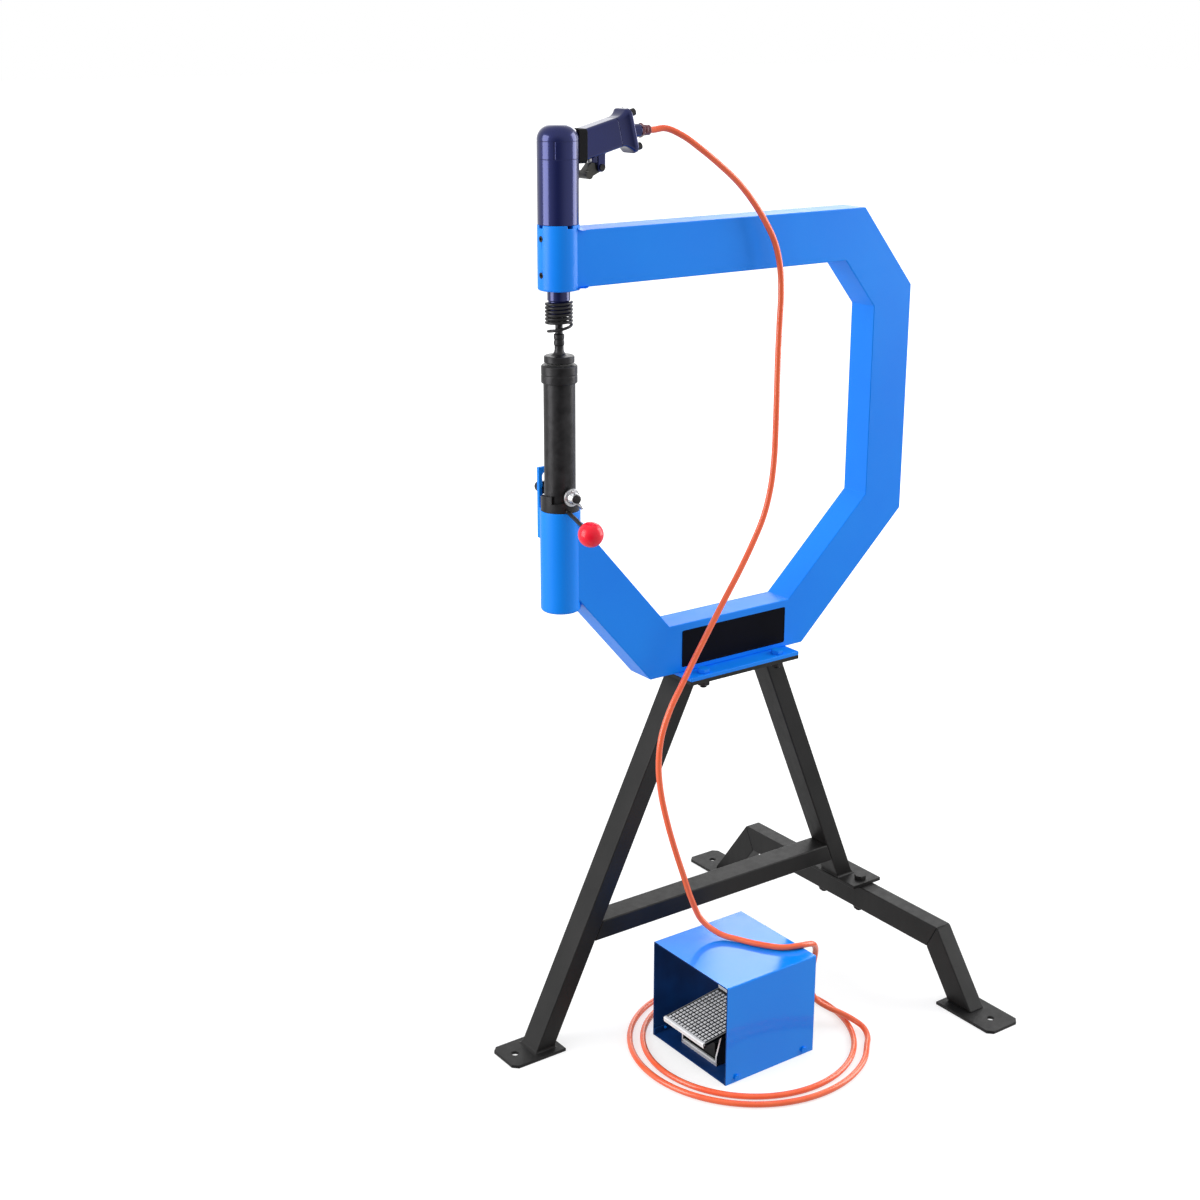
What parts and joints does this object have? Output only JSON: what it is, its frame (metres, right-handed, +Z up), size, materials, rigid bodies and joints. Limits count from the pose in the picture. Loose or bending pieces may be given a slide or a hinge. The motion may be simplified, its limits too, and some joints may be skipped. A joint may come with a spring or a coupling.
{
  "type": "pneumatic planishing hammer",
  "caption": "Pneumatic planishing hammer: a deep C-frame on a floor stand holds an air hammer over a cam-set anvil post, worked by a guarded foot valve through a hose.",
  "frame": {"origin": "on the floor at the middle of the machine's footprint; the hammer axis is at X = -0.2625", "axes": "+Z up, +X from the hammer axis towards the back of the throat, -Y the side with the foot valve"},
  "size_m": [0.747, 0.752, 1.3779],
  "materials": {
    "blue_paint": "glossy enamel",
    "label_black": "satin",
    "navy_enamel": "glossy enamel",
    "black_oxide": "black oxide, oiled",
    "bright_steel": "zinc plated",
    "black_rubber": "matt",
    "olive_paint": "satin",
    "fitting_red": "satin",
    "red_plastic": "polished",
    "black_powder": "satin powder coat",
    "cast_alloy": "as cast",
    "valve_black": "black anodised",
    "hose_orange": "smooth"
  },
  "bodies": {
    "machine": {"c_frame": "blue_paint", "hammer_socket": "blue_paint", "anvil_socket": "blue_paint", "post_guide": "blue_paint", "base_flange": "blue_paint", "pedal_guard": "blue_paint", "pedal_pan": "blue_paint", "label_plate": "label_black", "gun_barrel": "navy_enamel", "gun_band": "navy_enamel", "gun_cap": "navy_enamel", "gun_grip": "navy_enamel", "grip_butt": "navy_enamel", "socket_screws": "black_oxide", "butt_screws": "black_oxide", "trigger_pin": "black_oxide", "retainer_spring": "black_oxide", "flange_bolts": "black_oxide", "flange_nuts": "black_oxide", "beam_bolts": "black_oxide", "beam_nuts": "black_oxide", "valve_block": "bright_steel", "throttle_spring": "bright_steel", "guard_screws": "bright_steel", "treadle_pin": "bright_steel", "treadle_spring": "bright_steel", "grip_gasket": "black_rubber", "air_inlet": "fitting_red", "valve_fitting": "fitting_red", "stand_plate": "black_powder", "front_leg": "black_powder", "rear_leg": "black_powder", "leg_brace": "black_powder", "front_foot": "black_powder", "leg_base": "black_powder", "cross_beam": "black_powder", "near_slope": "black_powder", "far_slope": "black_powder", "near_foot": "black_powder", "far_foot": "black_powder", "pedal_base": "cast_alloy", "valve_body": "valve_black", "air_hose_drop": "hose_orange", "air_hose_loops": "hose_orange", "air_hose_tail": "hose_orange"},
    "cam": {"cam_collar": "black_oxide", "cam_lever": "black_oxide", "ball_knob": "red_plastic"},
    "post": {"anvil_post": "black_oxide", "anvil": "black_oxide", "post_bolt": "black_oxide", "bolt_washer": "bright_steel"},
    "wing": {"wing_nut": "bright_steel"},
    "bit": {"hammer_bit": "black_oxide"},
    "piston": {"piston": "bright_steel"},
    "trigger": {"trigger": "olive_paint"},
    "throttle": {"throttle_stem": "bright_steel"},
    "treadle": {"treadle": "cast_alloy"},
    "plunger": {"valve_plunger": "bright_steel"}
  },
  "joints": [
    {"name": "cam_turn", "type": "hinge", "parent": "machine", "child": "cam", "pos_m": [-0.2625, 0, 0.839], "axis": [0, 0, 1], "range_deg": [-30, 42]},
    {"name": "post_slide", "type": "slide", "parent": "machine", "child": "post", "axis": [0, 0, 1], "range_m": [-0.0028, 0.002]},
    {"name": "wing_turn", "type": "hinge", "parent": "post", "child": "wing", "pos_m": [-0.2625, -0.035, 0.86176], "axis": [0, 1, 0], "continuous": true},
    {"name": "bit_slide", "type": "slide", "parent": "machine", "child": "bit", "axis": [0, 0, 1], "range_m": [0, 0.008]},
    {"name": "piston_slide", "type": "slide", "parent": "machine", "child": "piston", "axis": [0, 0, 1], "range_m": [0, 0.06]},
    {"name": "trigger_squeeze", "type": "hinge", "parent": "machine", "child": "trigger", "pos_m": [-0.19838, 0, 1.3023], "axis": [0, 1, 0], "range_deg": [0, 12], "stiffness_Nm_per_rad": 0.6, "springref_deg": -14.32},
    {"name": "throttle_slide", "type": "slide", "parent": "machine", "child": "throttle", "axis": [-0.2419, 0, 0.9703], "range_m": [0, 0.0025]},
    {"name": "treadle_press", "type": "hinge", "parent": "machine", "child": "treadle", "pos_m": [-0.1045, -0.159, 0.046], "axis": [0, 1, 0], "range_deg": [0, 10], "stiffness_Nm_per_rad": 3, "springref_deg": -8.59},
    {"name": "plunger_slide", "type": "slide", "parent": "machine", "child": "plunger", "axis": [0, 0, 1], "range_m": [-0.0074, 0]}
  ],
  "couplings": [
    {"joint": "post_slide", "follows": "cam_turn", "m_per_rad": -0.0036643},
    {"joint": "throttle_slide", "follows": "trigger_squeeze", "m_per_rad": 0.0112},
    {"joint": "plunger_slide", "follows": "treadle_press", "m_per_rad": -0.041941}
  ]
}
